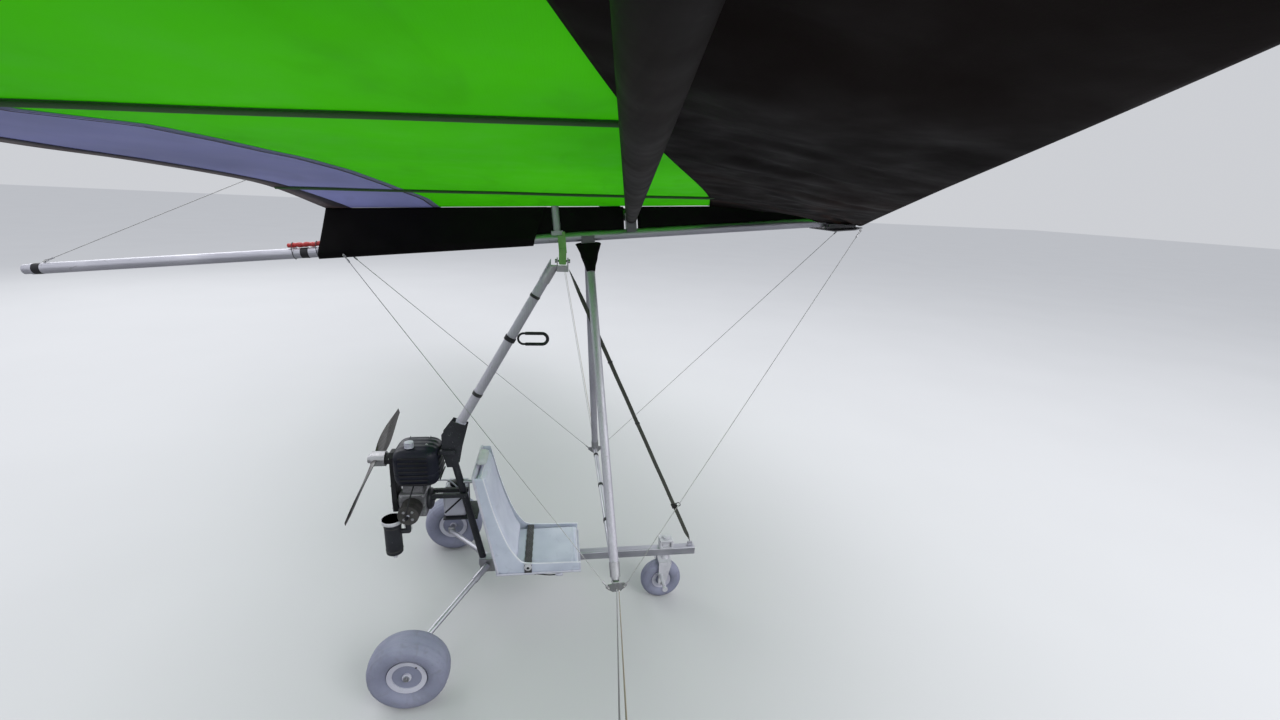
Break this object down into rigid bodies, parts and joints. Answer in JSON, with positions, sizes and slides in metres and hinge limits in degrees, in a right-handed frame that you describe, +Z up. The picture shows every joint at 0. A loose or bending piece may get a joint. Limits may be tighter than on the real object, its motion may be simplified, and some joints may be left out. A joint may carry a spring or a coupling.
{
  "type": "single-seat weight-shift microlight aircraft",
  "caption": "Open three-wheeled trike with a pusher propeller under a kingposted flexible wing, with a tilting wing, steered nose wheel and turning wheels.",
  "frame": {"origin": "on the ground under the middle of the length, in the symmetry plane", "axes": "+X forward, +Y port along the span, +Z up"},
  "size_m": [4.1308, 9.5232, 3.0936],
  "materials": {
    "green_sail": "taut bright green sailcloth",
    "black_sail": "black sailcloth",
    "grey_band": "pale lavender grey sailcloth",
    "tube": "bright anodised tube",
    "steel": "zinc plated",
    "pale_metal": "pale grey painted",
    "webbing": "black webbing",
    "dark_metal": "black painted",
    "grey_tyre": "smooth pale grey rubber",
    "pale_plastic": "pale grey moulding",
    "cast": "bare casting",
    "black_plastic": "black moulding",
    "blade": "dark lacquered wood",
    "vinyl": "pale grey vinyl",
    "wire": "stranded steel wire"
  },
  "bodies": {
    "trike": {"mast": "tube", "mast_head": "steel", "steering_head": "pale_metal", "trike_keel": "tube", "front_strap": "webbing", "rear_post": "dark_metal", "mast_foot_plates": "dark_metal", "legs": "tube", "leg_bracket": "steel", "axles": "steel", "engine_cylinder": "cast", "engine_cowl": "black_plastic", "belt_drive": "black_plastic", "engine_case": "cast", "silencer": "dark_metal", "exhaust_pipe": "dark_metal", "fuel_tank": "pale_plastic", "engine_mounts": "dark_metal", "seat_pan": "pale_plastic", "seat_back": "pale_plastic", "back_cushion": "vinyl", "pan_cushion": "vinyl", "head_roll": "vinyl", "lap_belt": "webbing", "seat_strut": "tube", "mast_loop": "dark_metal"},
    "swivel": {"swivel_block": "steel"},
    "wing": {"sail_left": "green_sail", "sail_right": "green_sail", "leading_pocket_left": "black_sail", "leading_pocket_right": "black_sail", "trailing_bands": "grey_band", "leading_edges": "tube", "battens": "tube", "wing_keel": "tube", "keel_pocket": "black_sail", "crossbars": "tube", "crossbar_brackets": "steel", "kingpost": "tube", "downtubes": "tube", "base_bar": "tube", "corner_fittings": "steel", "keel_fittings": "steel", "apex_cover": "black_sail", "hang_bracket": "steel", "lower_stays": "wire", "upper_stays": "wire"},
    "fork": {"fork_crown": "pale_metal", "front_axle": "steel", "fork_blades": "pale_metal"},
    "front_wheel": {"front_tyre": "grey_tyre", "front_rim": "pale_plastic"},
    "wheel_left": {"tyre_left": "grey_tyre", "rim_left": "pale_plastic"},
    "wheel_right": {"tyre_right": "grey_tyre", "rim_right": "pale_plastic"},
    "propeller": {"propeller_hub": "steel", "propeller_blades": "blade"}
  },
  "joints": [
    {"name": "wing_roll", "type": "hinge", "parent": "trike", "child": "swivel", "pos_m": [0.3859, 0, 2.15], "axis": [1, 0, 0], "range_deg": [-18, 18]},
    {"name": "wing_pitch", "type": "hinge", "parent": "swivel", "child": "wing", "pos_m": [0.3859, 0, 2.21], "axis": [0, 1, 0], "range_deg": [-10, 12]},
    {"name": "steering", "type": "hinge", "parent": "trike", "child": "fork", "pos_m": [1.0479, 0, 0.335], "axis": [0, 0, 1], "range_deg": [-25, 25]},
    {"name": "front_wheel_turn", "type": "hinge", "parent": "fork", "child": "front_wheel", "pos_m": [1.0279, 0, 0.13], "axis": [0, 1, 0], "continuous": true},
    {"name": "wheel_left_turn", "type": "hinge", "parent": "trike", "child": "wheel_left", "pos_m": [-0.3641, 0.64, 0.195], "axis": [0, 1, 0], "continuous": true},
    {"name": "wheel_right_turn", "type": "hinge", "parent": "trike", "child": "wheel_right", "pos_m": [-0.3641, -0.64, 0.195], "axis": [0, 1, 0], "continuous": true},
    {"name": "propeller_turn", "type": "hinge", "parent": "trike", "child": "propeller", "pos_m": [-0.6341, 0, 1.03], "axis": [1, 0, 0], "continuous": true}
  ]
}
